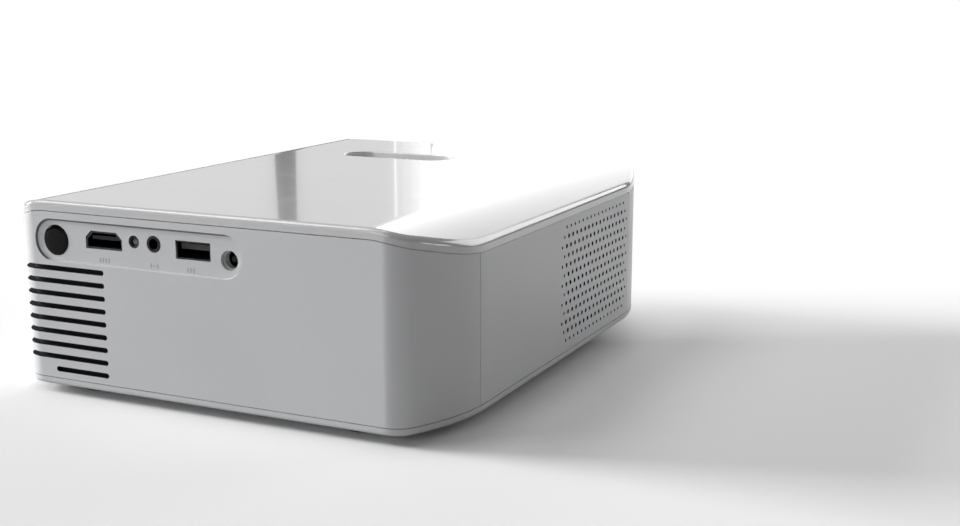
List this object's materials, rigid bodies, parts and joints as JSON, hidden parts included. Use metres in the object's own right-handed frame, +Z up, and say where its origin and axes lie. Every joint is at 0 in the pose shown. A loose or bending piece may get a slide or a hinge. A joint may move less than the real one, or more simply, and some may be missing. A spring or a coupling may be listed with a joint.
{
  "type": "projector with disc drive",
  "caption": "Compact lens projector in a white crowned case with a side tray disc drive, rear sockets and side grille.",
  "frame": {"origin": "centre of the footprint, on the surface that the rubber feet stand on", "axes": "+Z up, +Y towards the socket face, -Y is where the lens looks, +X is where the tray opens"},
  "size_m": [0.1664, 0.204, 0.0663],
  "materials": {
    "cover_white": "polished white moulding",
    "shell_white": "satin white moulding",
    "button_white": "satin white moulding",
    "rubber_black": "matt moulded rubber",
    "screw_steel": "zinc plated",
    "sheet_steel": "rolled zinc-coated sheet",
    "brass": "turned",
    "socket_steel": "nickel plated stamping",
    "black_plastic": "fine moulded texture",
    "gloss_black": "polished infrared-clear black",
    "board_green": "solder mask",
    "lens_glass": "coated optical glass",
    "panel_glass": "image panel",
    "light_pipe": "clear moulded light pipe",
    "lamp_gold": "metal-core board",
    "fin_aluminium": "extruded",
    "cone_black": "pressed paper pulp",
    "trim_silver": "fine turned"
  },
  "bodies": {
    "projector": {"top_cover": "cover_white", "rear_shell": "shell_white", "front_shell": "shell_white", "grille_panel": "shell_white", "tray_side_panel": "shell_white", "bottom_cover": "shell_white", "rubber_feet": "rubber_black", "cover_screws": "screw_steel", "tripod_insert": "brass", "tilt_nut": "brass", "ir_window": "gloss_black", "hdmi_port": "socket_steel", "status_led": "light_pipe", "audio_jack": "black_plastic", "usb_port": "socket_steel", "dc_jack": "black_plastic", "dc_pin": "socket_steel", "main_board": "board_green", "board_screws": "screw_steel", "power_board": "board_green", "engine_case": "black_plastic", "engine_lid": "black_plastic", "lcd_panel": "panel_glass", "fresnel_lens": "lens_glass", "condenser_lens": "lens_glass", "led_module": "lamp_gold", "heatsink": "fin_aluminium", "lens_holder": "black_plastic", "lens_trim": "trim_silver", "fan_frame": "black_plastic", "speaker_basket": "sheet_steel", "speaker_cone": "cone_black", "button_board": "board_green", "drive_base": "sheet_steel", "drive_cover": "sheet_steel"},
    "tray": {"tray": "black_plastic", "tray_bezel": "shell_white", "traverse_frame": "sheet_steel", "spindle_motor": "sheet_steel", "guide_rods": "sheet_steel", "sled_motor": "sheet_steel"},
    "rail_left": {"rail_left": "sheet_steel"},
    "rail_right": {"rail_right": "sheet_steel"},
    "turntable": {"turntable": "black_plastic"},
    "lead_screw": {"lead_screw": "brass"},
    "pickup": {"pickup_sled": "black_plastic"},
    "eject_button": {"eject_button": "button_white"},
    "focus_ring": {"focus_ring": "black_plastic"},
    "lens": {"lens_barrel": "black_plastic", "front_lens": "lens_glass", "rear_lens": "lens_glass"},
    "power_button": {"power_button": "button_white"},
    "source_button": {"source_button": "button_white"},
    "menu_button": {"menu_button": "button_white"},
    "volume_up_button": {"volume_up_button": "button_white"},
    "volume_down_button": {"volume_down_button": "button_white"},
    "fan_rotor": {"fan_rotor": "black_plastic"},
    "tilt_pad": {"tilt_pad": "rubber_black"},
    "tilt_screw": {"tilt_screw": "black_plastic"}
  },
  "joints": [
    {"name": "tray_slide", "type": "slide", "parent": "projector", "child": "tray", "axis": [1, 0, 0], "range_m": [0, 0.112]},
    {"name": "rail_left_slide", "type": "slide", "parent": "projector", "child": "rail_left", "axis": [1, 0, 0], "range_m": [0, 0.0561]},
    {"name": "rail_right_slide", "type": "slide", "parent": "projector", "child": "rail_right", "axis": [1, 0, 0], "range_m": [0, 0.0561]},
    {"name": "disc_spin", "type": "hinge", "parent": "tray", "child": "turntable", "pos_m": [0.01605, 0, 0.016], "axis": [0, 0, 1], "continuous": true},
    {"name": "lead_screw_turn", "type": "hinge", "parent": "tray", "child": "lead_screw", "pos_m": [0.0268, 0.01075, 0.0136], "axis": [0.7071, -0.7071, 0], "range_deg": [0, 4202]},
    {"name": "pickup_slide", "type": "slide", "parent": "tray", "child": "pickup", "axis": [0.7071, -0.7071, 0], "range_m": [0, 0.035]},
    {"name": "eject_press", "type": "slide", "parent": "tray", "child": "eject_button", "axis": [-1, 0, 0], "range_m": [0, 0.0007], "stiffness_N_per_m": 500},
    {"name": "focus_turn", "type": "hinge", "parent": "projector", "child": "focus_ring", "pos_m": [0.012, -0.053, 0.0434], "axis": [0, 1, 0], "range_deg": [-60, 60]},
    {"name": "lens_slide", "type": "slide", "parent": "projector", "child": "lens", "axis": [0, 1, 0], "range_m": [-0.0031, 0.0031]},
    {"name": "fan_spin", "type": "hinge", "parent": "projector", "child": "fan_rotor", "pos_m": [0.055, 0.0715, 0.0308], "axis": [0, 1, 0], "continuous": true},
    {"name": "tilt_screw_turn", "type": "hinge", "parent": "tilt_pad", "child": "tilt_screw", "pos_m": [0, -0.08595, 0.003], "axis": [0, 0, -1], "range_deg": [0, 2162]},
    {"name": "tilt_pad_lower", "type": "slide", "parent": "projector", "child": "tilt_pad", "axis": [0, 0, -1], "range_m": [0, 0.012]},
    {"name": "power_button_press", "type": "slide", "parent": "projector", "child": "power_button", "axis": [-1, 0, 0], "range_m": [0, 0.0008], "stiffness_N_per_m": 500},
    {"name": "source_button_press", "type": "slide", "parent": "projector", "child": "source_button", "axis": [-1, 0, 0], "range_m": [0, 0.0008], "stiffness_N_per_m": 500},
    {"name": "menu_button_press", "type": "slide", "parent": "projector", "child": "menu_button", "axis": [-1, 0, 0], "range_m": [0, 0.0008], "stiffness_N_per_m": 500},
    {"name": "volume_up_button_press", "type": "slide", "parent": "projector", "child": "volume_up_button", "axis": [-1, 0, 0], "range_m": [0, 0.0008], "stiffness_N_per_m": 500},
    {"name": "volume_down_button_press", "type": "slide", "parent": "projector", "child": "volume_down_button", "axis": [-1, 0, 0], "range_m": [0, 0.0008], "stiffness_N_per_m": 500}
  ],
  "couplings": [
    {"joint": "rail_left_slide", "follows": "tray_slide", "ratio": 0.5},
    {"joint": "rail_right_slide", "follows": "tray_slide", "ratio": 0.5},
    {"joint": "lead_screw_turn", "follows": "pickup_slide", "rad_per_m": 2094.4},
    {"joint": "lens_slide", "follows": "focus_turn", "m_per_rad": 0.00286},
    {"joint": "tilt_screw_turn", "follows": "tilt_pad_lower", "rad_per_m": 3141.6}
  ]
}
